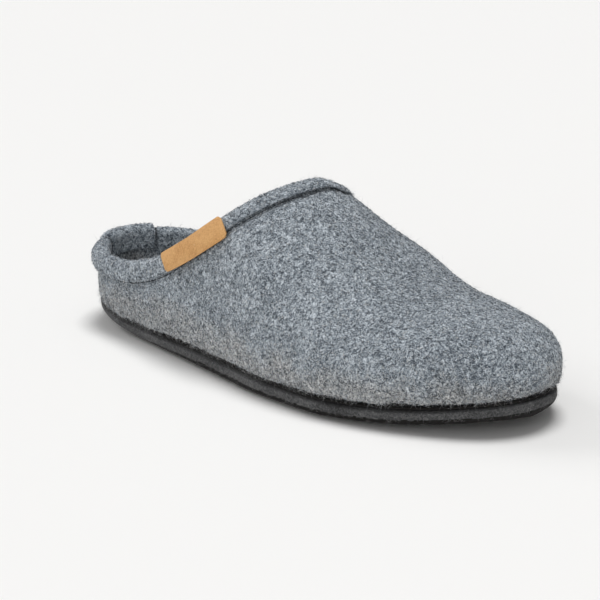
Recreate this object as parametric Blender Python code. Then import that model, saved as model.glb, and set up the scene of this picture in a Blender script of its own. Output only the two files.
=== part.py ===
"""A felt slipper for the right foot: an open-backed house shoe of thick boiled wool.

Metres, +Z up, +X towards the toe, +Y towards the big toe side (medial), -Y the outer side (lateral).
The floor is Z = 0 and the origin is the middle of the footprint of the whole slipper.

While it is being worked out, every point is in last coordinates: X runs from 0 at the back of the
sole to SOLE_LENGTH at its tip, and Y = 0 is the line from heel to toe. An empty carries the finished
pieces to the origin. A surface that runs parallel to the sole's outline is named by its offset, the
distance outside that outline, and a line along the collar by its depth below the top edge.
"""

import math

import bmesh
import bpy
from mathutils import Vector

# Driving sizes of the last and the sole
SOLE_LENGTH = 0.270
BALL_WIDTH = 0.100
HEEL_WIDTH = 0.071
INSTEP_RISE = 0.075
HEEL_HEIGHT = 0.0388
SIDE_HEIGHT = 0.0364
THROAT_HEIGHT = 0.0844
THROAT_SHARE = 0.498
HEEL_LEAN = 0.0025

# Sole build, from the floor up
OUTSOLE_THICKNESS = 0.0072
MIDSOLE_THICKNESS = 0.0012
MIDSOLE_INSET = 0.0014
INSOLE_THICKNESS = 0.0035
TOE_SPRING = 0.0066
ARCH_RISE = 0.0005
HEEL_SPRING = 0.0060
SOLE_BEVEL = 0.0026
HEEL_BEVEL = 0.0016
EDGE_ROUND = 0.0008

# Felt of the upper
WALL = 0.0028
BULGE = 0.0015
HEEL_TRIM = 0.0010
TUCK = 0.0030
WIDEST_RISE = 0.0078
TUCK_START = math.radians(20)
SIDE_ROUNDNESS = 2.30
TOP_ROUNDNESS = 2.25

# Felt strips sewn over the top edge
STRIP = 0.0021
BINDING_WIDTH = 0.0102
CUFF_WIDTH = 0.0108
CUFF_EXTRA = 0.0008
CUFF_RISE = 0.0018
CUFF_SHARE = 0.018

# Blank tag on the outer side
TAG_THICKNESS = 0.0010
TAG_RUN = 0.0380
TAG_BACK = 0.0800
TAG_WIDTH = 0.0102
TAG_TOP = 0.0008
TAG_CORNER = 0.0016

GAP = 0.0003
FOLD_GAP = 0.0009

# Sole outline: share of the length, lateral and medial half width as shares of half the named width
OUTLINE = (
    (0.000, 0.000, 0.000, HEEL_WIDTH),
    (0.015, 0.385, 0.370, HEEL_WIDTH),
    (0.050, 0.715, 0.680, HEEL_WIDTH),
    (0.110, 0.950, 0.900, HEEL_WIDTH),
    (0.200, 1.055, 0.970, HEEL_WIDTH),
    (0.300, 1.165, 0.950, HEEL_WIDTH),
    (0.400, 0.905, 0.680, BALL_WIDTH),
    (0.500, 0.985, 0.735, BALL_WIDTH),
    (0.600, 1.060, 0.835, BALL_WIDTH),
    (0.700, 1.070, 0.915, BALL_WIDTH),
    (0.780, 0.990, 0.920, BALL_WIDTH),
    (0.860, 0.820, 0.830, BALL_WIDTH),
    (0.920, 0.630, 0.690, BALL_WIDTH),
    (0.965, 0.420, 0.490, BALL_WIDTH),
    (0.990, 0.222, 0.276, BALL_WIDTH),
    (1.000, 0.000, 0.000, BALL_WIDTH),
)

# Top line of the last: share of the length, height over the widest line as a share of INSTEP_RISE
CREST = (
    (0.00, 1.000),
    (0.25, 1.000),
    (0.40, 0.990),
    (0.52, 0.885),
    (0.64, 0.667),
    (0.76, 0.425),
    (0.87, 0.345),
    (0.95, 0.264),
    (1.00, 0.000),
)

# Underside: share of the length, height as shares of HEEL_SPRING, ARCH_RISE and TOE_SPRING, and the
# share of HEEL_BEVEL by which the outsole's lower edge is cut back more than by SOLE_BEVEL
UNDERSIDE = (
    (0.00, 1.00, 0.00, 0.00, 1.00),
    (0.06, 0.68, 0.00, 0.00, 1.00),
    (0.12, 0.28, 0.00, 0.00, 0.80),
    (0.19, 0.00, 0.00, 0.00, 0.60),
    (0.29, 0.00, 0.00, 0.00, 0.30),
    (0.42, 0.00, 1.00, 0.00, 0.00),
    (0.57, 0.00, 0.00, 0.00, 0.00),
    (0.72, 0.00, 0.00, 0.00, 0.00),
    (0.86, 0.00, 0.00, 0.28, 0.00),
    (1.00, 0.00, 0.00, 1.00, 0.00),
)

# Collar line: share of the way to the throat, share of HEEL_HEIGHT, share of THROAT_HEIGHT, the rest
# being SIDE_HEIGHT
COLLAR = (
    (-0.20, 1.000, 0.000),
    (0.00, 0.900, 0.000),
    (0.15, 0.400, 0.000),
    (0.32, 0.000, 0.015),
    (0.50, 0.000, 0.125),
    (0.66, 0.000, 0.328),
    (0.83, 0.000, 0.628),
    (1.00, 0.000, 1.000),
    (1.15, 0.000, 1.330),
)

# How finely the pieces are divided
SOLE_STATIONS = 44
REAR_STATIONS = 26
FRONT_STATIONS = 18
WALL_STEPS = 12
TUCK_STEPS = 3
BINDING_STATIONS = 24
CUFF_STATIONS = 5
ROUND_STEPS = 6
TAG_STATIONS = 10

LATERAL, MEDIAL = -1, 1


def read(rows, column, place):
    """Smooth value of a table's column at a place along its first column, with no overshoot."""
    last = len(rows) - 1
    place = min(max(place, rows[0][0]), rows[last][0])
    slopes = [
        (rows[i + 1][column] - rows[i][column]) / (rows[i + 1][0] - rows[i][0])
        for i in range(last)
    ]

    def tangent(i):
        if i == 0 or i == last:
            return slopes[0] if i == 0 else slopes[-1]
        before, after = slopes[i - 1], slopes[i]
        return 0.0 if before * after <= 0 else 2 * before * after / (before + after)

    i = 0
    while i < last - 1 and place > rows[i + 1][0]:
        i += 1
    width = rows[i + 1][0] - rows[i][0]
    t = (place - rows[i][0]) / width
    rest = 1 - t
    return (
        rows[i][column] * rest * rest * (1 + 2 * t)
        + rows[i + 1][column] * t * t * (3 - 2 * t)
        + width * rest * t * (tangent(i) * rest - tangent(i + 1) * t)
    )


def turn_of(share):
    """Shares near 0 and 1 spread out, so that a round end reads as a straight run."""
    return math.acos(1 - 2 * min(max(share, 0.0), 1.0)) / math.pi


def share_of(turn):
    return (1 - math.cos(math.pi * turn)) / 2


OUTLINE_TURNS = [
    (turn_of(share), lateral * width / 2, medial * width / 2)
    for share, lateral, medial, width in OUTLINE
]
CREST_TURNS = [(turn_of(share), rise * INSTEP_RISE) for share, rise in CREST]


def along(share, offset):
    """X of a share of the length, on the outline pushed out by offset."""
    return share * (SOLE_LENGTH + 2 * offset) - offset


def share_at(x, offset):
    return min(max((x + offset) / (SOLE_LENGTH + 2 * offset), 0.0), 1.0)


def lean(point):
    """The upper stands a little inside the sole at the back, the more so the higher it gets."""
    back = max(1 - point.x / (0.4 * SOLE_LENGTH), 0.0)
    height = min(max((point.z - widest_height(0)) / HEEL_HEIGHT, 0.0), 1.5)
    shift = (HEEL_TRIM + HEEL_LEAN * height) * back * back
    return Vector((point.x + shift, point.y, point.z))


def underside(x):
    share = share_at(x, 0)
    heel = HEEL_SPRING * read(UNDERSIDE, 1, share)
    return heel + ARCH_RISE * read(UNDERSIDE, 2, share) + TOE_SPRING * read(UNDERSIDE, 3, share)


def heel_bevel(x):
    return HEEL_BEVEL * read(UNDERSIDE, 4, share_at(x, 0))


def half_width(x, side, offset):
    column = 1 if side == LATERAL else 2
    half = max(read(OUTLINE_TURNS, column, turn_of(share_at(x, offset))), 0.0)
    return half + offset * min(1.0, 2 * half / HEEL_WIDTH)


def crest_rise(x, offset):
    """Height of the top line over the widest line, on the surface at that offset."""
    rise = max(read(CREST_TURNS, 1, turn_of(share_at(x, offset))), 0.0)
    return rise + (offset - BULGE) * min(1.0, 3 * rise / INSTEP_RISE)


def feather_height(x):
    """Underside of the felt, where it stands on the sole."""
    return underside(x) + OUTSOLE_THICKNESS + MIDSOLE_THICKNESS + 2 * GAP


def widest_height(x):
    return feather_height(x) + WIDEST_RISE


def on_last(x, side, offset, z):
    """The point of the surface at that offset, at that X and height above the widest line."""
    rise = max(crest_rise(x, offset), 1e-6)
    share = min(max((z - widest_height(x)) / rise, 0.0), 1.0)
    reach = (1 - share**TOP_ROUNDNESS) ** (1 / SIDE_ROUNDNESS)
    return Vector((x, side * half_width(x, side, offset) * reach, z))


def collar_height(x):
    """Height of the top edge of the felt strips, seen from the side."""
    place = x / (SOLE_LENGTH * THROAT_SHARE)
    heel, throat = read(COLLAR, 1, place), read(COLLAR, 2, place)
    return SIDE_HEIGHT + (HEEL_HEIGHT - SIDE_HEIGHT) * heel + (THROAT_HEIGHT - SIDE_HEIGHT) * throat


def line_below(x, depth):
    """Height at X of the line that runs depth below the collar line, measured square to it."""
    step = SOLE_LENGTH / 1000
    foot = x
    for _ in range(12):
        slope = (collar_height(foot + step) - collar_height(foot - step)) / (2 * step)
        angle = math.atan(slope)
        foot = x - depth * math.sin(angle)
    return collar_height(foot) - depth * math.cos(angle)


def throat_x(depth, offset):
    """X where a line along the collar crosses the top of the foot."""
    low, high = SOLE_LENGTH * THROAT_SHARE / 2, SOLE_LENGTH * 0.75
    for _ in range(40):
        middle = (low + high) / 2
        crest = widest_height(middle) + crest_rise(middle, offset)
        if line_below(middle, depth) < crest:
            low = middle
        else:
            high = middle
    return (low + high) / 2


class Skin:
    """Faces between rows of points. Points at one place are one vertex."""

    def __init__(self):
        self.mesh = bmesh.new()
        self.known = {}

    def vertex(self, point):
        key = tuple(round(value, 7) for value in point)
        if key not in self.known:
            self.known[key] = self.mesh.verts.new(point)
        return self.known[key]

    def face(self, points):
        corners = []
        for vertex in map(self.vertex, points):
            if vertex not in corners:
                corners.append(vertex)
        if len(corners) > 2:
            self.mesh.faces.new(corners)

    def rows(self, rows):
        for near, far in zip(rows, rows[1:]):
            for k in range(len(near) - 1):
                self.face((near[k], near[k + 1], far[k + 1], far[k]))

    def finish(self, name, material, smooth_angle):
        self.mesh.normal_update()
        bmesh.ops.recalc_face_normals(self.mesh, faces=self.mesh.faces)
        bmesh.ops.triangulate(self.mesh, faces=self.mesh.faces, quad_method="SHORT_EDGE")
        data = bpy.data.meshes.new(name)
        self.mesh.to_mesh(data)
        self.mesh.free()
        data.shade_smooth()
        data.set_sharp_from_angle(angle=math.radians(smooth_angle))
        data.materials.append(material)
        node = bpy.data.objects.new(name, data)
        bpy.context.scene.collection.objects.link(node)
        return node


def finish_of(name, color, roughness):
    material = bpy.data.materials.new(name)
    material.use_nodes = True
    shader = material.node_tree.nodes["Principled BSDF"]
    shader.inputs["Base Color"].default_value = (*color, 1)
    shader.inputs["Roughness"].default_value = roughness
    shader.inputs["Metallic"].default_value = 0
    return material


def slab(name, material, offset, bottom, thickness, bevelled=False):
    """A flat layer with the sole's outline and rounded edges, its underside `bottom` over the sole's."""
    edge = min(EDGE_ROUND, thickness / 3)

    def half_loop(share, side):
        lower = SOLE_BEVEL + heel_bevel(along(share, offset)) if bevelled else edge
        for inset, height in (
            (-lower, 0),
            (0, lower),
            (0, thickness - edge),
            (-edge, thickness),
        ):
            x = along(share, offset + inset)
            y = side * half_width(x, side, offset + inset)
            yield Vector((x, y, underside(x) + bottom + height))

    skin = Skin()
    loops = []
    for step in range(SOLE_STATIONS + 1):
        share = share_of(step / SOLE_STATIONS)
        loop = list(half_loop(share, LATERAL)) + list(half_loop(share, MEDIAL))[::-1]
        loops.append(loop + loop[:1])
    skin.rows(loops)
    return skin.finish(name, material, 35)


def wall_row(x_of_offset, side, shell, rim_depth):
    """Points up one side of the upper, from the sole to the rim, or to the top line ahead of it."""
    points = []
    for step in range(TUCK_STEPS):
        angle = TUCK_START + (math.pi / 2 - TUCK_START) * step / TUCK_STEPS
        reach = (math.sin(angle) - math.sin(TUCK_START)) / (1 - math.sin(TUCK_START))
        offset = -TUCK + (BULGE + TUCK) * reach + shell
        x = x_of_offset(offset)
        rise = WIDEST_RISE * (1 - math.cos(angle) / math.cos(TUCK_START))
        y = side * half_width(x, side, offset)
        points.append(lean(Vector((x, y, feather_height(x) + rise))))
    offset = BULGE + shell
    x = x_of_offset(offset)
    low, rise = widest_height(x), crest_rise(x, offset)
    share = 1.0
    if rim_depth is not None and rise > 0:
        share = min(max((line_below(x, rim_depth) - low) / rise, 0.0), 1.0)
    top = math.asin(share ** (TOP_ROUNDNESS / 2))
    for step in range(WALL_STEPS + 1):
        angle = top * step / WALL_STEPS
        height = low + rise * math.sin(angle) ** (2 / TOP_ROUNDNESS)
        reach = max(math.cos(angle), 0.0) ** (2 / SIDE_ROUNDNESS)
        if share >= 1 and step == WALL_STEPS:
            reach = 0.0
        points.append(lean(Vector((x, side * half_width(x, side, offset) * reach, height))))
    return points


def make_upper(material):
    """One hollow wall, open at the collar and underneath, from its outer and inner surfaces."""
    skin = Skin()
    rim_depth = STRIP + FOLD_GAP
    splits = {
        shell: share_at(throat_x(rim_depth, BULGE + shell), BULGE + shell)
        for shell in (0, -WALL)
    }
    for side in (LATERAL, MEDIAL):
        surfaces = {}
        for shell, split in splits.items():
            rear = [
                wall_row(
                    lambda offset: along(split * share_of(step / REAR_STATIONS), offset),
                    side,
                    shell,
                    rim_depth if step < REAR_STATIONS else None,
                )
                for step in range(REAR_STATIONS + 1)
            ]
            front = [
                wall_row(
                    lambda offset: along(
                        split
                        + (1 - split) * math.sin(math.pi / 2 * step / FRONT_STATIONS),
                        offset,
                    ),
                    side,
                    shell,
                    None,
                )
                for step in range(1, FRONT_STATIONS + 1)
            ]
            surfaces[shell] = rear + front
            skin.rows(surfaces[shell])
        outer, inner = surfaces[0], surfaces[-WALL]
        skin.rows([[row[0] for row in outer], [row[0] for row in inner]])
        rims = slice(0, REAR_STATIONS + 1)
        skin.rows([[row[-1] for row in outer[rims]], [row[-1] for row in inner[rims]]])
    return skin.finish("upper", material, 50)


def strip_profile(width, extra, rise):
    """A felt strip folded over the rim, as depth and offset: up outside, over, down inside, back."""
    outside = BULGE + GAP + STRIP + extra
    inside = BULGE - WALL - GAP - STRIP - extra
    middle, half = (outside + inside) / 2, (outside - inside) / 2
    profile = [(width, BULGE + GAP), (width, outside)]
    profile += [(width * share, outside) for share in (0.70, 0.40)]
    for step in range(ROUND_STEPS + 1):
        angle = math.pi * step / ROUND_STEPS
        depth = half * (1 - math.sin(angle)) - rise
        profile.append((depth, middle + half * math.cos(angle)))
    profile += [(width * share, inside) for share in (0.40, 0.70)]
    profile += [(width, inside), (width, BULGE - WALL - GAP)]
    profile += [(width * share, BULGE - WALL - GAP) for share in (0.70, 0.40)]
    profile += [(STRIP, BULGE - WALL - GAP), (STRIP, BULGE + GAP)]
    profile += [(width * share, BULGE + GAP) for share in (0.40, 0.70)]
    return profile + profile[:1]


def collar_point(x, side, depth, offset):
    return on_last(x, side, offset, line_below(x, depth))


def sweep_strip(name, material, profile, places):
    """Sweeps a strip's profile through places, each a function from depth and offset to a point."""
    skin = Skin()
    loops = [[lean(place(depth, offset)) for depth, offset in profile] for place in places]
    skin.rows(loops)
    for cap in (loops[0], loops[-1]):
        skin.face(cap[:-1])
    return skin.finish(name, material, 50)


def make_heel_cuff(material):
    """The short piece round the back of the heel: thicker, and it stands prouder than the binding."""

    def place(side, step):
        def point(depth, offset):
            share = share_of(turn_of(CUFF_SHARE) * step / CUFF_STATIONS)
            return collar_point(along(share, offset), side, depth, offset)

        return point

    places = [place(LATERAL, step) for step in range(CUFF_STATIONS, 0, -1)]
    places += [place(MEDIAL, step) for step in range(CUFF_STATIONS + 1)]
    profile = strip_profile(CUFF_WIDTH, CUFF_EXTRA, CUFF_RISE)
    return sweep_strip("heel_cuff", material, profile, places)


def make_binding(material):
    """The strip round the rest of the collar, over the instep from one end of the cuff to the other."""
    end = CUFF_SHARE + GAP / SOLE_LENGTH

    def place(side, step):
        def point(depth, offset):
            throat = turn_of(share_at(throat_x(depth, offset), offset))
            run = math.sin(math.pi / 2 * step / BINDING_STATIONS)
            share = share_of(turn_of(end) + (throat - turn_of(end)) * run)
            found = collar_point(along(share, offset), side, depth, offset)
            if step == BINDING_STATIONS:
                found.y = 0.0
            return found

        return point

    places = [place(LATERAL, step) for step in range(BINDING_STATIONS + 1)]
    places += [place(MEDIAL, step) for step in range(BINDING_STATIONS - 1, -1, -1)]
    profile = strip_profile(BINDING_WIDTH, 0, 0)
    return sweep_strip("binding", material, profile, places)


def make_tag(material):
    """A blank tag with rounded corners, sewn flat on the outside of the binding, square to its edge."""
    under = BULGE + GAP + STRIP + GAP

    def point(run, depth, offset):
        step = SOLE_LENGTH / 1000
        foot = TAG_BACK + run
        angle = math.atan((collar_height(foot + step) - collar_height(foot - step)) / (2 * step))
        x = foot + depth * math.sin(angle)
        return lean(on_last(x, LATERAL, offset, collar_height(foot) - depth * math.cos(angle)))

    skin = Skin()
    loops = []
    for step in range(TAG_STATIONS + 1):
        run = TAG_RUN * share_of(step / TAG_STATIONS)
        to_end = min(run, TAG_RUN - run, TAG_CORNER)
        notch = TAG_CORNER - math.sqrt(TAG_CORNER**2 - (TAG_CORNER - to_end) ** 2)
        top, bottom = TAG_TOP + notch, TAG_TOP + TAG_WIDTH - notch
        outline = [(depth, under + TAG_THICKNESS) for depth in (top, (top + bottom) / 2, bottom)]
        outline += [(depth, under) for depth in (bottom, (top + bottom) / 2, top)]
        loop = [point(run, depth, offset) for depth, offset in outline]
        loops.append(loop + loop[:1])
    skin.rows(loops)
    for cap in (loops[0], loops[-1]):
        skin.face(cap[:-1])
    return skin.finish("tag", material, 40)


def centre(pieces):
    """Parents the pieces to an empty that brings the middle of their footprint to the origin."""
    corners = [vertex.co for piece in pieces for vertex in piece.data.vertices]
    middle = [
        (min(corner[axis] for corner in corners) + max(corner[axis] for corner in corners)) / 2
        for axis in (0, 1)
    ]
    carrier = bpy.data.objects.new("slipper", None)
    carrier.location = (-middle[0], -middle[1], 0)
    bpy.context.scene.collection.objects.link(carrier)
    for piece in pieces:
        piece.parent = carrier


def main():
    for old in list(bpy.data.objects):
        bpy.data.objects.remove(old)
    wool = finish_of("grey_wool_felt", (0.235, 0.262, 0.290), 0.95)
    lining = finish_of("insole_felt", (0.185, 0.205, 0.225), 0.95)
    dark = finish_of("dark_sole_felt", (0.045, 0.047, 0.050), 0.90)
    black = finish_of("black_sole_edge", (0.012, 0.012, 0.013), 0.85)
    tan = finish_of("tan_tag", (0.580, 0.330, 0.120), 0.65)
    inside_felt = -TUCK - WALL - 2 * GAP
    pieces = [
        slab("outsole", dark, 0, 0, OUTSOLE_THICKNESS, bevelled=True),
        slab("midsole", black, -MIDSOLE_INSET, OUTSOLE_THICKNESS + GAP, MIDSOLE_THICKNESS),
        slab(
            "insole",
            lining,
            inside_felt,
            OUTSOLE_THICKNESS + MIDSOLE_THICKNESS + 2 * GAP,
            INSOLE_THICKNESS,
        ),
        make_upper(wool),
        make_heel_cuff(wool),
        make_binding(wool),
        make_tag(tan),
    ]
    centre(pieces)


main()
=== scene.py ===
import math

import bmesh
import bpy
import numpy as np
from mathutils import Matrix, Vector, noise
from mathutils.bvhtree import BVHTree


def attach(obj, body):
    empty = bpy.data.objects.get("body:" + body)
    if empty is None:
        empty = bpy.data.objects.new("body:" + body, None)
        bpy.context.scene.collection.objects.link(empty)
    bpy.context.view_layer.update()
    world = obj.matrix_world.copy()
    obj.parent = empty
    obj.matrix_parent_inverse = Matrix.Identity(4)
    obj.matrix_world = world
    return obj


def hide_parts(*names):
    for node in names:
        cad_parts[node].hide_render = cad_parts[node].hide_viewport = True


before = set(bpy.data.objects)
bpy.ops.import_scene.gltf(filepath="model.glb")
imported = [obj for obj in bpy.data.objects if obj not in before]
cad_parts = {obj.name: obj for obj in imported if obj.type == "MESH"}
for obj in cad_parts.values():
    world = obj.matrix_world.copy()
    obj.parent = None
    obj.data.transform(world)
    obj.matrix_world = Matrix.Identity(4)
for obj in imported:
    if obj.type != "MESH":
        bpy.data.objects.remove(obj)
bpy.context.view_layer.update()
print("frame loaded")


# Camera: where the photographer stood, off the outer side and ahead of the toe

camera = {
    "place": (0.697, -0.643, 0.2884),
    "aim": (-0.004, 0.002, 0.0284),
    "lens": 132,
}


def makeCamera(settings):
    data = bpy.data.cameras.new("camera")
    data.lens = settings["lens"]
    data.sensor_width = 36
    eye = bpy.data.objects.new("camera", data)
    eye.location = settings["place"]
    look = Vector(settings["aim"]) - Vector(settings["place"])
    eye.rotation_euler = look.to_track_quat("-Z", "Y").to_euler()
    bpy.context.scene.collection.objects.link(eye)
    bpy.context.scene.camera = eye


makeCamera(camera)


# Studio: a pale sheet under the slipper, wide soft lights and a dim pale room

studio = {
    "floorSize": 8.0,
    "floorColor": (0.90, 0.895, 0.885),
    "roomColor": (0.96, 0.96, 0.96),
    "roomStrength": 0.25,
    "lights": {
        "keyLight": {"from": (-0.04, 0.12, 1.00), "spread": 24, "power": 1.90},
        "heelLight": {"from": (-1.00, -0.30, 0.60), "spread": 35, "power": 0.85},
        "frontLight": {"from": (0.60, -0.95, 0.16), "spread": 60, "power": 1.10},
    },
}


def makeLight(name, settings):
    data = bpy.data.lights.new(name, "SUN")
    data.energy = settings["power"]
    data.angle = math.radians(settings["spread"])
    lamp = bpy.data.objects.new(name, data)
    lamp.rotation_euler = (-Vector(settings["from"])).to_track_quat("-Z", "Y").to_euler()
    bpy.context.scene.collection.objects.link(lamp)


def makeStudio(settings):
    bpy.context.scene.view_settings.view_transform = "Standard"
    world = bpy.data.worlds.new("room")
    world.use_nodes = True
    room = world.node_tree.nodes["Background"]
    room.inputs["Color"].default_value = (*settings["roomColor"], 1)
    room.inputs["Strength"].default_value = settings["roomStrength"]
    bpy.context.scene.world = world
    for name, light in settings["lights"].items():
        makeLight(name, light)
    shape = bmesh.new()
    bmesh.ops.create_grid(shape, x_segments=1, y_segments=1, size=settings["floorSize"])
    floor = toObject(shape, "floor")
    paper = bpy.data.materials.new("paper")
    paper.use_nodes = True
    shader = paper.node_tree.nodes["Principled BSDF"]
    shader.inputs["Base Color"].default_value = (*settings["floorColor"], 1)
    shader.inputs["Roughness"].default_value = 0.8
    shader.inputs["Specular IOR Level"].default_value = 0.1
    floor.data.materials.append(paper)


def toObject(shape, name):
    data = bpy.data.meshes.new(name)
    shape.to_mesh(data)
    shape.free()
    made = bpy.data.objects.new(name, data)
    bpy.context.scene.collection.objects.link(made)
    return made


makeStudio(studio)
print("studio made")


# Shader helpers


class Wire:  # a socket that adds Math nodes when it is used in an expression
    def __init__(self, tree, socket):
        self.tree = tree
        self.socket = socket

    def node(self, kind, settings=None, sockets=None, out=0):
        made = self.tree.nodes.new(kind)
        for name, value in (settings or {}).items():
            if name == "stops":
                ramp = made.color_ramp
                while len(ramp.elements) < len(value):
                    ramp.elements.new(0.5)
                for stop, (place, color) in zip(ramp.elements, value):
                    stop.position = place
                    stop.color = (*color, 1)
            else:
                setattr(made, name, value)
        for name, value in (sockets or {}).items():
            if isinstance(value, Wire):
                self.tree.links.new(value.socket, made.inputs[name])
            else:
                made.inputs[name].default_value = value
        return Wire(self.tree, made.outputs[out])

    def math(self, operation, first, second):
        return self.node("ShaderNodeMath", {"operation": operation}, {0: first, 1: second})

    def __add__(self, other):
        return self.math("ADD", self, other)

    __radd__ = __add__

    def __sub__(self, other):
        return self.math("SUBTRACT", self, other)

    def __rsub__(self, other):
        return self.math("SUBTRACT", other, self)

    def __mul__(self, other):
        return self.math("MULTIPLY", self, other)

    __rmul__ = __mul__

    def clamped(self):
        settings = {"operation": "ADD", "use_clamp": True}
        return self.node("ShaderNodeMath", settings, {0: self, 1: 0.0})


def newMaterial(name, roughness, constants=None):
    made = bpy.data.materials.new(name)
    made.use_nodes = True
    shader = made.node_tree.nodes["Principled BSDF"]
    shader.inputs["Roughness"].default_value = roughness
    shader.inputs["Specular IOR Level"].default_value = 0.2
    for socket, value in (constants or {}).items():
        shader.inputs[socket].default_value = value
    return made, shader


def placeIn(material):  # where a point lies on the object
    return Wire(material.node_tree, None).node("ShaderNodeTexCoord", out="Object")


def noiseOf(place, scale, detail=2.0, roughness=0.5, distortion=0.0):
    sockets = {
        "Vector": place,
        "Scale": scale,
        "Detail": detail,
        "Roughness": roughness,
        "Distortion": distortion,
    }
    return place.node("ShaderNodeTexNoise", None, sockets)


def rampOf(shade, stops, colors):
    return shade.node("ShaderNodeValToRGB", {"stops": list(zip(stops, colors))}, {"Fac": shade})


def blend(share, first, second):
    sockets = {0: share, 6: first, 7: second}
    return share.node("ShaderNodeMix", {"data_type": "RGBA"}, sockets, out=2)


def bumpOf(height, distance):
    return height.node("ShaderNodeBump", None, {"Height": height, "Distance": distance})


def feed(shader, socket, wire):
    wire.tree.links.new(wire.socket, shader.inputs[socket])


# Wool felt: light and dark fibres matted together, bluish, and a plain grey low on the sides

wool = {
    "cool": ((0.060, 0.075, 0.094), (0.270, 0.312, 0.352), (0.690, 0.745, 0.800)),
    "plain": ((0.072, 0.075, 0.078), (0.292, 0.302, 0.310), (0.740, 0.740, 0.735)),
    "stops": (0.14, 0.50, 0.90),
    "noises": {
        "clouds": {"size": 0.0300, "share": 0.35, "detail": 2, "roughness": 0.5, "distortion": 0.0},
        "tufts": {"size": 0.0036, "share": 1.00, "detail": 2, "roughness": 0.6, "distortion": 1.4},
        "grain": {"size": 0.0012, "share": 2.00, "detail": 2, "roughness": 0.7, "distortion": 1.0},
        "flecks": {"size": 0.0006, "share": 0.90, "detail": 1, "roughness": 0.5, "distortion": 0.5},
    },
    "plainBelow": 0.0244,
    "plainFade": 90,
    "plainPatches": {"scale": 55, "share": 3.2},
    "plainMore": 0.25,
    "tuftBump": 0.6,
    "bumpDepth": 0.0007,
    "sheen": 0.15,
    "insideTone": 0.85,
}


def woolMaterial(name, settings, tone=1.0):
    constants = {"Sheen Weight": settings["sheen"], "Sheen Roughness": 0.6}
    made, shader = newMaterial(name, 0.95, constants)
    place = placeIn(made)
    waves = {}
    shade = 0.5
    for kind, wave in settings["noises"].items():
        look = (wave["detail"], wave["roughness"], wave["distortion"])
        waves[kind] = noiseOf(place, 1 / wave["size"], *look)
        shade = shade + wave["share"] * (waves[kind] - 0.5)
    shade = shade.clamped()

    def rampFor(colors):
        toned = [[channel * tone for channel in color] for color in colors]
        return rampOf(shade, settings["stops"], toned)

    height = place.node("ShaderNodeSeparateXYZ", None, {0: place}, out="Z")
    patches = noiseOf(place, settings["plainPatches"]["scale"])
    low = (settings["plainBelow"] - height) * settings["plainFade"]
    low = low + settings["plainPatches"]["share"] * (patches - 0.5) + settings["plainMore"]
    color = blend(low.clamped(), rampFor(settings["cool"]), rampFor(settings["plain"]))
    feed(shader, "Base Color", color)
    relief = settings["tuftBump"] * waves["tufts"] + waves["grain"]
    feed(shader, "Normal", bumpOf(relief, settings["bumpDepth"]))
    return made


def fibreMaterial(name, color):  # one shade: the mottle comes from hairs of several shades
    made, shader = newMaterial(name, 0.85)
    shader.inputs["Base Color"].default_value = (*color, 1)
    return made


feltGrey = woolMaterial("woolFelt", wool)
feltInside = woolMaterial("insoleFelt", wool, wool["insideTone"])


# Sole: charcoal felted edge with light fibres caught in it, black underneath, and a black ply above; the
# black also holds painted shade

soleColors = {
    "charcoal": ((0.032, 0.032, 0.033), (0.078, 0.079, 0.081), (0.170, 0.170, 0.172)),
    "charcoalStops": (0.30, 0.50, 0.74),
    "poreScale": 1000,
    "patches": {"scale": 60, "share": 0.5},
    "poreDepth": 0.0006,
    # black: the sole's underside, the ply and the seam thread, and also painted shade: contact shadow under
    # the sole's edge, the shadow line between felt and sole, the shade in the seam groove
    "black": ((0.008, 0.007, 0.007), (0.020, 0.019, 0.018)),
    "blackStops": (0.35, 0.75),
    "blackPoreScale": 700,
    "blackPoreDepth": 0.0003,
}


def soleMaterial(settings):
    made, shader = newMaterial("soleCharcoal", 0.92, {"Sheen Weight": 0.1})
    place = placeIn(made)
    pores = noiseOf(place, settings["poreScale"], 3, 0.7, 0.6)
    patches = noiseOf(place, settings["patches"]["scale"])
    shade = pores + settings["patches"]["share"] * (patches - 0.5)
    feed(shader, "Base Color", rampOf(shade, settings["charcoalStops"], settings["charcoal"]))
    feed(shader, "Normal", bumpOf(pores, settings["poreDepth"]))
    return made


# Black for the underside, ply and thread, which also paints the contact shadow below the sole's edge, the
# shadow line over the sole and the seam groove's shade
def blackMaterial(settings):
    made, shader = newMaterial("blackAndPaintedShade", 0.85)
    pores = noiseOf(placeIn(made), settings["blackPoreScale"], 2, 0.6)
    feed(shader, "Base Color", rampOf(pores, settings["blackStops"], settings["black"]))
    feed(shader, "Normal", bumpOf(pores, settings["blackPoreDepth"]))
    return made


# Tag leather: smooth and tan with a fine grain, darker in its hollows

tagColors = {
    "colors": ((0.430, 0.205, 0.065), (0.640, 0.350, 0.135), (0.760, 0.470, 0.215)),
    "stops": (0.34, 0.57, 0.80),
    "grain": {"scale": 1500, "share": 0.8, "depth": 0.00012},
    "patches": {"scale": 120, "share": 0.35},
    "roughness": {"least": 0.45, "grain": 0.25},
}


def tagMaterial(settings):
    made, shader = newMaterial("tanTag", 0.5, {"Coat Roughness": 0.4})
    place = placeIn(made)
    grain = noiseOf(place, settings["grain"]["scale"], 3, 0.65, 0.4)
    patches = noiseOf(place, settings["patches"]["scale"])
    shade = settings["grain"]["share"] * grain + settings["patches"]["share"] * patches
    feed(shader, "Base Color", rampOf(shade, settings["stops"], settings["colors"]))
    roughness = settings["roughness"]
    feed(shader, "Roughness", roughness["least"] + roughness["grain"] * grain)
    feed(shader, "Normal", bumpOf(grain, settings["grain"]["depth"]))
    return made


soleCharcoal = soleMaterial(soleColors)
blackAndPaintedShade = blackMaterial(soleColors)
tanTag = tagMaterial(tagColors)
print("materials made")


# Lines of the slipper seen from the side: heights in millimetres every 20 mm from the back of the
# heel. A pair of numbers says where along x, y or z something fades in or out

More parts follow.
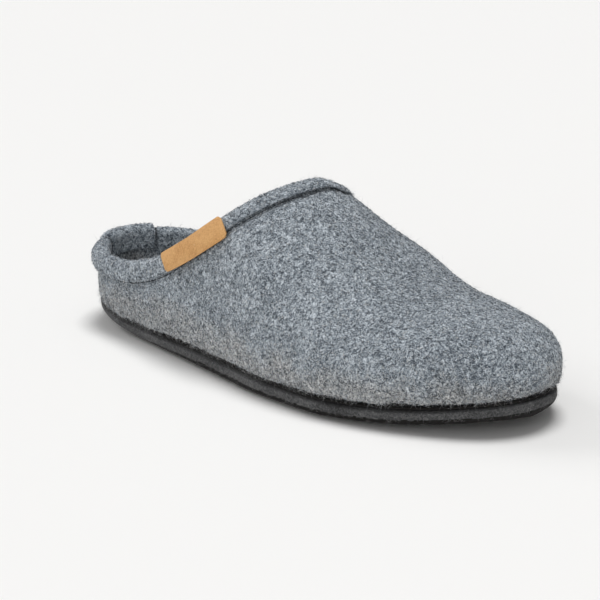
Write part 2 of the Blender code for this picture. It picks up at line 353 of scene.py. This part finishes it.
lines = {
    "start": -0.140,
    "step": 0.020,
    "seam": (28.4, 27.5, 26.7, 28.4, 33.9, 43.5, 55.9, 71.1, 86.9, 103.0),
    "soleRise": (6.0, 4.35, 1.5, 0, 0, 0.2, 0.5, 0.25, 0, 0, 0, 0.6, 2.0, 4.4, 6.6),
    "feltBottom": 0.0090,
    "throatLift": 0.0016,
    "liftAlong": (-0.050, -0.005),
    "throatDrop": 0.0028,
    "dropAlong": (-0.024, -0.006),
    "dropAcross": (0.003, 0.019),
    "dropUp": (0.055, 0.075),
    "axisEnd": 0.085,
    "axisHeight": 0.0304,
}


def lineAt(heights, x):  # a smooth line through the heights, in metres
    place = min(max((x - lines["start"]) / lines["step"], 0), len(heights) - 1.001)
    i = int(place)
    t = place - i
    a, b, c, d = (heights[min(max(i + k, 0), len(heights) - 1)] for k in (-1, 0, 1, 2))
    curve = (2 * a - 5 * b + 4 * c - d) * t * t + (3 * b - a - 3 * c + d) * t**3
    return (2 * b + (c - a) * t + curve) / 2000


def easeIn(value, low, high):  # from 0 at low to 1 at high, smoothly
    t = min(max((value - low) / (high - low), 0), 1)
    return t * t * (3 - 2 * t)


def seamDepth(place):  # how far a point lies below the binding's seam, square to it
    slope = (lineAt(lines["seam"], place.x + 0.002) - lineAt(lines["seam"], place.x - 0.002)) / 0.004
    return (lineAt(lines["seam"], place.x) - place.z) / math.sqrt(1 + slope * slope)


def throatLift(x):  # the binding gets narrower as it climbs to the throat
    return lines["throatLift"] * easeIn(x, *lines["liftAlong"])


def throatDrop(place):  # the rim dips on the inner side of the instep
    share = easeIn(place.x, *lines["dropAlong"]) * easeIn(place.y, *lines["dropAcross"])
    share *= easeIn(place.z, *lines["dropUp"])
    return Vector((0, 0, -lines["throatDrop"] * share))


def facesOut(place, normal):  # seen from a line that runs lengthwise through the foot's room
    end = lines["axisEnd"]
    middle = Vector((min(max(place.x, -end), end), 0, lines["axisHeight"]))
    return normal.dot(place - middle) > 0


# Soft pieces: a CAD node's own mesh, made of quads again, smoothed and then worked


def quadCopy(node, sharpest):  # the node's mesh, its triangles joined where they meet flatly
    shape = bmesh.new()
    shape.from_mesh(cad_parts[node].data)
    bmesh.ops.remove_doubles(shape, verts=shape.verts, dist=0.00001)
    bmesh.ops.join_triangles(
        shape,
        faces=shape.faces,
        angle_face_threshold=math.radians(sharpest),
        angle_shape_threshold=math.radians(80),
    )
    return shape


def softCopy(node, name, levels, prepare=None):
    shape = quadCopy(node, 60)
    if prepare:
        prepare(shape)
    piece = toObject(shape, name)
    rounder = piece.modifiers.new("round", "SUBSURF")
    rounder.levels = levels
    rounder.render_levels = levels
    bpy.context.view_layer.update()
    rounded = bmesh.new()
    rounded.from_object(piece, bpy.context.evaluated_depsgraph_get())
    piece.modifiers.clear()
    rounded.normal_update()
    return piece, rounded


def work(shape, moveOf):  # moves every vertex by what moveOf says for its place and normal
    moves = [moveOf(vert.co, vert.normal) for vert in shape.verts]
    for vert, move in zip(shape.verts, moves):
        vert.co += move


def dress(piece, materials, node=None):
    piece.data.shade_smooth()
    for material in materials:
        piece.data.materials.append(material)
    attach(piece, "root")
    if node:
        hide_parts(node)
    return piece


def keep(piece, shape, materials, node):
    shape.to_mesh(piece.data)
    shape.free()
    return dress(piece, materials, node)


def surfaceOf(piece):
    return BVHTree.FromObject(piece, bpy.context.evaluated_depsgraph_get())


felting = {"lumps": 0.0008, "lumpSize": 0.020, "pits": 0.00028, "pitSize": 0.0034, "thinShare": 0.5}


def feltLumps(place, settings):  # nearly all inwards, so that the pieces stay clear
    lump = noise.noise(place / settings["lumpSize"])
    pit = noise.noise(place / settings["pitSize"] + Vector((7, 3, 1)))
    return settings["lumps"] * (lump - 0.6) / 1.6 + settings["pits"] * (pit - 1) / 2


# Upper: it swells beside the seam, is drawn in below the seam of the heel, sags over the sole's
# edge, and has a few shallow hollows

upperForm = {
    "groove": 0.0006,
    "swellFrom": 0.0030,
    "swellReach": 0.013,
    "swell": 0.0010,
    "heel": (-0.130, -0.104),
    "tuck": 0.0018,
    "tuckStarts": (0.0004, 0.0026),
    "tuckFades": (0.006, 0.016),
    "tuckFade": 0.7,
    "sag": 0.0012,
    "sagStarts": (0.0009, 0.0024),
    "sagFades": (0.0026, 0.0085),
    "sagWaves": {"depth": 0.0008, "scale": 75, "fineScale": 260, "fineShare": 0.7},
    "heelSag": 0.0006,
    "heelSagAlong": (-0.09, -0.02),
    "overhang": 0.0005,
    "hollows": [
        {"at": (-0.045, -0.040, 0.0264), "size": 0.017, "depth": 0.0010},
        {"at": (-0.015, -0.046, 0.0364), "size": 0.013, "depth": 0.0006},
        {"at": (0.030, -0.038, 0.0544), "size": 0.012, "depth": 0.0007},
        {"at": (0.050, 0.010, 0.0564), "size": 0.014, "depth": 0.0008},
        {"at": (0.092, -0.022, 0.0424), "size": 0.012, "depth": 0.0006},
        {"at": (-0.030, 0.036, 0.0324), "size": 0.015, "depth": 0.0009},
        {"at": (-0.118, -0.012, 0.0204), "size": 0.009, "depth": 0.0006},
    ],
}


def seamSwell(depth, form):
    if depth < form["groove"]:
        return 0
    rise = easeIn(depth, form["groove"], form["swellFrom"])
    past = max(depth - form["swellFrom"], 0) / form["swellReach"]
    return form["swell"] * rise * math.exp(-past * past)


def lowerSag(place, normal, form):
    height = place.z - lines["feltBottom"] - lineAt(lines["soleRise"], place.x)
    share = easeIn(height, *form["sagStarts"]) * (1 - easeIn(height, *form["sagFades"]))
    if share == 0:
        return Vector((0, 0, 0))
    waves = form["sagWaves"]
    wave = noise.noise(place * waves["scale"])
    wave += waves["fineShare"] * noise.noise(place * waves["fineScale"])
    sag = form["sag"] + waves["depth"] * wave
    sag += form["heelSag"] * (1 - easeIn(place.x, *form["heelSagAlong"]))
    away = Vector((normal.x, normal.y, 0))
    if away.length > 0:
        away.normalize()
    return share * (form["overhang"] * away - Vector((0, 0, sag)))


def hollowDepth(place, form):
    total = 0
    for hollow in form["hollows"]:
        away = (place - Vector(hollow["at"])).length / hollow["size"]
        total += hollow["depth"] * math.exp(-away * away)
    return total


def upperMove(place, normal):
    depth = feltLumps(place, felting)
    if not facesOut(place, normal):
        return depth * normal + throatDrop(place)
    below = seamDepth(place) + throatLift(place.x)
    back = 1 - easeIn(place.x, *upperForm["heel"])
    depth += seamSwell(below, upperForm) * (1 - back)
    tuck = 1 - upperForm["tuckFade"] * easeIn(below, *upperForm["tuckFades"])
    tuck *= easeIn(below, *upperForm["tuckStarts"])
    depth -= upperForm["tuck"] * back * tuck
    depth -= hollowDepth(place, upperForm)
    return depth * normal + lowerSag(place, normal, upperForm) + throatDrop(place)


def makeUpper():
    piece, shape = softCopy("upper", "upperFelt", 2)
    bareWall = BVHTree.FromBMesh(shape)
    work(shape, upperMove)
    return keep(piece, shape, [feltGrey], "upper"), bareWall


upper, bareWall = makeUpper()
print("upper made")


# Binding and heel piece: strips pinched down by the stitches along their lower edge

strips = {
    "pinch": 0.0010,
    "pinchReach": 0.0040,
    "liftReach": 0.0065,
    "liftWay": (-0.6, 0, 0.8),
}


def stripMove(place, normal):
    move = felting["thinShare"] * feltLumps(place, felting) * normal + throatDrop(place)
    wall, wallNormal, _, _ = bareWall.find_nearest(place)
    if not facesOut(wall, wallNormal):
        return move
    height = -seamDepth(place)
    if facesOut(place, normal):
        move -= normal * strips["pinch"] * (1 - easeIn(height, 0, strips["pinchReach"]))
    lift = throatLift(place.x) * (1 - easeIn(height, 0, strips["liftReach"]))
    if lift > 0:
        up = Vector(strips["liftWay"])
        up -= up.dot(wallNormal) * wallNormal
        move += lift * up.normalized()
    return move


def makeStrip(node, name, levels):
    piece, shape = softCopy(node, name, levels)
    work(shape, stripMove)
    return keep(piece, shape, [feltGrey], node)


binding = makeStrip("binding", "bindingFelt", 2)
heelCuff = makeStrip("heel_cuff", "heelCuffFelt", 3)
print("strips made")


# Insole: its top edge is pressed up against the wall all round, like a shallow dish

dish = {
    "inset": 0.0022,
    "gap": 0.0005,
    "rise": 0.0006,
    "most": 0.0042,
    "castReach": 0.02,
    "topFacesUp": 0.9,
    "edgeFacesUp": 0.1,
    "edgeFacesOut": 0.2,
}


def dishEdge(shape):
    tops = [face for face in shape.faces if face.normal.z > dish["topFacesUp"]]
    for _ in range(2):
        bmesh.ops.inset_region(shape, faces=tops, thickness=dish["inset"], use_even_offset=True)
    shape.normal_update()
    for vert in shape.verts:
        out = Vector((vert.normal.x, vert.normal.y, 0))
        if vert.normal.z < dish["edgeFacesUp"] or out.length < dish["edgeFacesOut"]:
            continue
        out.normalize()
        hit, _, _, distance = bareWall.ray_cast(vert.co, out, dish["castReach"])
        if hit is not None:
            vert.co += out * min(max(distance - dish["gap"], 0), dish["most"])
            vert.co.z += dish["rise"]


def insoleMove(place, normal):
    return felting["thinShare"] * feltLumps(place, felting) * normal


def makeInsole():
    piece, shape = softCopy("insole", "insoleFelt", 2, dishEdge)
    work(shape, insoleMove)
    return keep(piece, shape, [feltInside], "insole")


insole = makeInsole()


# Outsole: the edge is rough like cut felt. Just over the floor it is black, partly a black underside
# and partly painted contact shadow, and under the ball of the foot it is full there

soleForm = {
    # black: height of the black band, partly the underside and partly painted contact shadow; less of it at
    # the heel
    "black": 0.0034,
    "heelLess": 0.0010,
    "heelAlong": (-0.115, -0.030),
    "ragged": 0.0004,
    "raggedScale": 300,
    "rough": {"depth": 0.00025, "scale": 420, "fineScale": 1100, "fineShare": 0.6, "inward": 1.2},
    "flare": 0.0022,
    "flareStarts": (-0.060, -0.010),
    "flareEnds": (0.090, 0.122),
    "flareEdge": 0.0002,
    "flareLean": (0.05, 0.40),
}


def blackTop(x):  # how high the black reaches, less at the heel
    return soleForm["black"] - soleForm["heelLess"] * (1 - easeIn(x, *soleForm["heelAlong"]))


def soleMove(place, normal):
    height = place.z - lineAt(lines["soleRise"], place.x)
    rough = soleForm["rough"]
    wave = noise.noise(place * rough["scale"]) + rough["fineShare"] * noise.noise(place * rough["fineScale"])
    depth = rough["depth"] * (wave - rough["inward"]) * (1 - abs(normal.z))
    edge = soleForm["flareEdge"]
    under = 1 - easeIn(height, edge, blackTop(place.x) + edge)
    away = Vector((normal.x, normal.y, 0))
    share = under * easeIn(away.length, *soleForm["flareLean"]) * (normal.z < 0)
    share *= easeIn(place.x, *soleForm["flareStarts"]) * (1 - easeIn(place.x, *soleForm["flareEnds"]))
    return depth * normal + soleForm["flare"] * share * away.normalized()


def makeOutsole():
    piece, shape = softCopy("outsole", "outsoleFelt", 3)
    for face in shape.faces:
        middle = face.calc_center_median()
        height = middle.z - lineAt(lines["soleRise"], middle.x)
        ragged = soleForm["ragged"] * noise.noise(middle * soleForm["raggedScale"])
        # faces low on the edge get the black, which paints contact shadow there as well as the black
        # underside
        face.material_index = int(height < blackTop(middle.x) + ragged)
    work(shape, soleMove)
    return keep(piece, shape, [soleCharcoal, blackAndPaintedShade], "outsole")


outsole = makeOutsole()
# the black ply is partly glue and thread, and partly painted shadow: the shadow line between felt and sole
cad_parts["midsole"].data.materials[0] = blackAndPaintedShade
print("sole made")


# Tag: the CAD tag with its edges rounded, slid along the binding, wider towards the throat, and
# its ends slanted

tagForm = {
    "edgeRound": 0.00028,
    "sharpEdge": 0.9,
    "length": 0.96,
    "widen": 0.10,
    "slide": 0.0022,
    "slant": 0.0019,
}


def roundedTag():
    shape = quadCopy("tag", 40)
    rims = [edge for edge in shape.edges if edge.calc_face_angle() > tagForm["sharpEdge"]]
    bmesh.ops.bevel(
        shape,
        geom=rims,
        offset=tagForm["edgeRound"],
        affect="EDGES",
        segments=2,
        profile=0.5,
        material=-1,
    )
    return shape


def fitTag(shape):  # moves along the wall, so that the tag stays on its curve
    places = np.array([vert.co for vert in shape.verts])
    middle = Vector(places.mean(axis=0))
    axes = np.linalg.svd(places - places.mean(axis=0), full_matrices=False)[2]
    along = Vector(axes[0]) * (1 if axes[0][0] > 0 else -1)
    across = Vector(axes[1])
    across *= 1 if across.z > 0 else -1
    half = max((vert.co - middle).dot(along) for vert in shape.verts)
    halfWide = max((vert.co - middle).dot(across) for vert in shape.verts)
    for vert in shape.verts:
        run = (vert.co - middle).dot(along)
        wide = (vert.co - middle).dot(across)
        wallNormal = bareWall.find_nearest(vert.co)[1]
        slide = run * (tagForm["length"] - 1) + tagForm["slide"]
        step = along * (slide + tagForm["slant"] * (1 - wide / halfWide))
        vert.co += step - step.dot(wallNormal) * wallNormal
        vert.co += across * wide * tagForm["widen"] * (1 + run / half) / 2


def makeTag():
    shape = roundedTag()
    fitTag(shape)
    return dress(toObject(shape, "tagLeather"), [tanTag], "tag")


tagLeather = makeTag()
print("tag made")


# Seam: the sunk dark line of thread along the binding's lower edge, black so that it also paints the shade
# in the seam groove

seam = {
    "radius": 0.00028,
    "stations": 150,
    "from": -0.127,
    "to": 0.0095,
    "sink": 0.0001,
    "lower": 0.0003,
    "liftShare": 1.25,
    "sideAtThroat": 0.018,
    "castFrom": 0.2,
    "thickness": {"least": 0.9, "waves": 0.5, "scale": 400},
}


def seamPoints(side, settings, wall):
    points = []
    for i in range(settings["stations"]):
        x = settings["from"] + (settings["to"] - settings["from"]) * i / (settings["stations"] - 1)
        height = lineAt(lines["seam"], x) + throatLift(x) * settings["liftShare"] - settings["lower"]
        height += throatDrop(Vector((x, side * settings["sideAtThroat"], height))).z
        start = Vector((x, side * settings["castFrom"], height))
        hit, normal, _, _ = wall.ray_cast(start, Vector((0, -side, 0)))
        if hit is not None:
            points.append(hit - normal * settings["sink"])
    return points


def makeSeam(settings):
    wall = surfaceOf(upper)
    curve = bpy.data.curves.new("seamLine", "CURVE")
    curve.dimensions = "3D"
    curve.bevel_depth = settings["radius"]
    curve.bevel_resolution = 1
    curve.use_fill_caps = True
    thickness = settings["thickness"]
    for side in (-1, 1):
        points = seamPoints(side, settings, wall)
        spline = curve.splines.new("POLY")
        spline.points.add(len(points) - 1)
        for i, place in enumerate(points):
            spline.points[i].co = (*place, 1)
            wave = noise.noise(place * thickness["scale"])
            spline.points[i].radius = thickness["least"] + thickness["waves"] * wave
    line = bpy.data.objects.new("seamLine", curve)
    bpy.context.scene.collection.objects.link(line)
    finished = line.evaluated_get(bpy.context.evaluated_depsgraph_get())
    data = bpy.data.meshes.new_from_object(finished)
    bpy.data.objects.remove(line)
    data.materials.clear()
    piece = bpy.data.objects.new("seamThreadAndShade", data)
    bpy.context.scene.collection.objects.link(piece)
    # the black cord is thread and painted shade of the seam groove
    dress(piece, [blackAndPaintedShade])


makeSeam(seam)
print("seam made")


# Nap: loose wool lying on the felt, in short matted locks of light, middle and dark fibre

nap = {
    "locks": {
        "napCool": {"color": (0.700, 0.745, 0.795), "count": 24000, "seed": 11},
        "napPlain": {"color": (0.730, 0.730, 0.725), "count": 15000, "seed": 12},
        "napMiddle": {"color": (0.330, 0.370, 0.410), "count": 25000, "seed": 13},
        "napDark": {"color": (0.072, 0.083, 0.098), "count": 26000, "seed": 14},
    },
    "length": 0.0014,
    "lengths": (0.5, 1.5),
    "width": 0.00030,
    "widths": (0.6, 1.3),
    "bends": (-0.6, 0.6),
    "lift": 0.35,
    "rootDepth": 0.00012,
    "waistRaise": 0.00005,
    "inside": 0.35,
    "plainTop": 0.0324,
    "plainFade": 0.015,
    "plainLeast": 0.15,
    "clearance": 0.0011,
    "floorClearance": 0.0003,
}


def facesOf(host, covers, clearance):  # corners, normals and areas of the faces left uncovered
    host.data.calc_loop_triangles()
    count = len(host.data.loop_triangles)
    corners = np.empty(count * 3, dtype=np.int32)
    host.data.loop_triangles.foreach_get("vertices", corners)
    points = np.empty(len(host.data.vertices) * 3, dtype=np.float32)
    host.data.vertices.foreach_get("co", points)
    triangles = points.reshape(-1, 3)[corners.reshape(-1, 3)].astype(float)
    normals = np.cross(triangles[:, 1] - triangles[:, 0], triangles[:, 2] - triangles[:, 0])
    areas = np.linalg.norm(normals, axis=1) / 2
    normals /= np.maximum(areas[:, None] * 2, 1e-15)
    middles = triangles.mean(axis=1)
    free = np.ones(count, dtype=bool)
    for i in range(count):
        up = Vector(normals[i])
        start = Vector(middles[i]) + up * 0.00005  # just off the face
        free[i] = all(cover.ray_cast(start, up, clearance)[0] is None for cover in covers)
    return triangles[free], normals[free], areas[free]


def joined(groups):
    return [np.concatenate(parts) for parts in zip(*groups)]


def scatter(faces, weights, count, random):  # places on the faces and the normals there
    triangles, normals, areas = faces
    chances = areas * weights
    chosen = random.choice(len(areas), count, p=chances / chances.sum())
    first = np.sqrt(random.random(count))[:, None]
    second = random.random(count)[:, None]
    corner = triangles[chosen]
    places = (1 - first) * corner[:, 0] + first * (1 - second) * corner[:, 1]
    return places + first * second * corner[:, 2], normals[chosen]


def tangents(up, random):
    loose = random.normal(size=up.shape)
    along = loose - (loose * up).sum(axis=1)[:, None] * up
    along /= np.linalg.norm(along, axis=1)[:, None]
    return along, np.cross(up, along)


def meshPiece(name, points, faces, material):
    points[:, 2] = np.maximum(points[:, 2], nap["floorClearance"])
    data = bpy.data.meshes.new(name)
    data.vertices.add(len(points))
    data.vertices.foreach_set("co", points.astype(np.float32).ravel())
    data.loops.add(len(faces) * 3)
    data.loops.foreach_set("vertex_index", faces.astype(np.int32).ravel())
    data.polygons.add(len(faces))
    data.polygons.foreach_set("loop_start", np.arange(0, len(faces) * 3, 3, dtype=np.int32))
    data.update(calc_edges=True)
    data.validate()
    piece = bpy.data.objects.new(name, data)
    bpy.context.scene.collection.objects.link(piece)
    dress(piece, [material])


def growLocks(name, faces, weights, spec, settings):  # each a flat spindle with three corners round it
    random = np.random.default_rng(spec["seed"])
    count = spec["count"]
    root, up = scatter(faces, weights, count, random)
    along, side = tangents(up, random)
    length = settings["length"] * random.uniform(*settings["lengths"], (count, 1))
    width = settings["width"] * random.uniform(*settings["widths"], (count, 1)) / 2
    lift = settings["lift"] * random.random((count, 1)) ** 2
    bend = random.uniform(*settings["bends"], (count, 1))
    waist = root + length * (0.45 * along + 0.6 * lift * up + 0.15 * bend * side)
    waist += settings["waistRaise"] * up
    tip = root + length * (0.95 * along + 0.9 * lift * up + bend * side)
    corners = [waist + width * side]
    corners.append(waist + width * (0.8 * up - 0.5 * side))
    corners.append(waist - width * (0.8 * up + 0.5 * side))
    points = np.stack([root - settings["rootDepth"] * up, *corners, tip], axis=1).reshape(-1, 3)
    pattern = np.array([[0, 2, 1], [0, 3, 2], [0, 1, 3], [4, 1, 2], [4, 2, 3], [4, 3, 1]])
    lockFaces = ((np.arange(count) * 5)[:, None, None] + pattern).reshape(-1, 3)
    meshPiece(name, points, lockFaces, fibreMaterial(name, spec["color"]))


# Wisps: single long hairs that curl off the felt; they make its soft outline

wisps = {
    "wispCool": {"color": (0.600, 0.630, 0.660), "count": 6500, "seed": 21, "length": 0.0032},
    "wispDark": {"color": (0.160, 0.175, 0.190), "count": 2600, "seed": 22, "length": 0.0030},
    "fringe": {"color": (0.500, 0.505, 0.505), "count": 4000, "seed": 23, "length": 0.0028},
    "soleHair": {"color": (0.340, 0.340, 0.340), "count": 1600, "seed": 24, "length": 0.0018},
    "lengths": (0.5, 1.6),
    "width": 0.00008,
    "widths": (0.7, 1.2),
    "stands": (0.15, 1.0),
    "turns": (0.6, 2.6),
    "twists": (-0.5, 0.5),
    "rootDepth": 0.0001,
    "inside": 0.2,
    "fringeDroop": 0.7,
    "hem": (0.0090, 0.0139),
    "hemFacesDown": -0.9,
    "soleEdgeFacesUp": 0.4,
}


def growWisps(name, faces, weights, droop=0):  # each bends on a circle and tapers to its tip
    spec = wisps[name]
    random = np.random.default_rng(spec["seed"])
    count = spec["count"]
    root, up = scatter(faces, weights, count, random)
    along, side = tangents(up, random)
    length = spec["length"] * random.uniform(*wisps["lengths"], (count, 1))
    width = wisps["width"] * random.uniform(*wisps["widths"], (count, 1))
    stand = random.uniform(*wisps["stands"], (count, 1))
    heading = stand * up + (1 - 0.6 * stand) * along + droop * np.array([0, 0, -1])
    heading /= np.linalg.norm(heading, axis=1)[:, None]
    turning = random.uniform(*wisps["turns"], (count, 1))
    twist = random.uniform(*wisps["twists"], (count, 1))
    rings = [root - wisps["rootDepth"] * up]
    for k in range(1, 4):
        angle = turning * k / 3
        path = np.sin(angle) * heading + (1 - np.cos(angle)) * (0.8 * along - 0.2 * up)
        middle = root + length * (path / turning + twist * (k / 3) ** 2 * side * 0.5)
        if k == 3:
            rings.append(middle)
            continue
        thick = width * (1.2 - k / 4)
        rings.append(middle + thick * side / 2)
        rings.append(middle + thick * (up - side) / 4)
        rings.append(middle - thick * (up + side) / 4)
    points = np.stack(rings, axis=1).reshape(-1, 3)
    pattern = [[0, 2, 1], [0, 3, 2], [0, 1, 3], [7, 4, 5], [7, 5, 6], [7, 6, 4]]
    for a, b in ((1, 2), (2, 3), (3, 1)):
        pattern.append([a, b, b + 3])
        pattern.append([a, b + 3, a + 3])
    wispFaces = ((np.arange(count) * 8)[:, None, None] + np.array(pattern)).reshape(-1, 3)
    meshPiece(name, points, wispFaces, fibreMaterial(name, spec["color"]))


def growWool():
    parts = {piece: surfaceOf(piece) for piece in (upper, binding, heelCuff, insole, tagLeather)}
    free = {}
    for host in (upper, binding, heelCuff):
        others = [tree for piece, tree in parts.items() if piece is not host]
        free[host] = facesOf(host, others, nap["clearance"])
    faces = joined(free.values())
    triangles, normals, areas = faces
    middles = triangles.mean(axis=1)
    end = lines["axisEnd"]
    axis = np.stack([np.clip(middles[:, 0], -end, end), 0 * areas, 0 * areas + lines["axisHeight"]], axis=1)
    outer = (normals * (middles - axis)).sum(axis=1) > 0
    weights = np.where(outer, 1.0, nap["inside"])
    low = np.clip((nap["plainTop"] - middles[:, 2]) / nap["plainFade"], nap["plainLeast"], 1)
    for name, spec in nap["locks"].items():
        growLocks(name, faces, weights * (low if name == "napPlain" else 1), spec, nap)
    for name in ("wispCool", "wispDark"):
        growWisps(name, faces, np.where(outer, 1.0, wisps["inside"]))
    growFringe(faces, middles, outer)
    growSoleHair()


def growFringe(faces, middles, outer):  # along the felt's lower edge, over the black line
    heights = middles[:, 2] - np.array([lineAt(lines["soleRise"], x) for x in middles[:, 0]])
    lowest, highest = wisps["hem"]
    hem = outer & (heights < highest) & (heights > lowest) & (faces[1][:, 2] > wisps["hemFacesDown"])
    growWisps("fringe", faces, np.where(hem, 1.0, 0.0), wisps["fringeDroop"])


def growSoleHair():  # caught in the sole's edge, none on its top or underside
    edge = facesOf(outsole, [], 0)
    upright = np.abs(edge[1][:, 2]) < wisps["soleEdgeFacesUp"]
    growWisps("soleHair", edge, np.where(upright, 1.0, 0.0))


growWool()
print("wool grown")
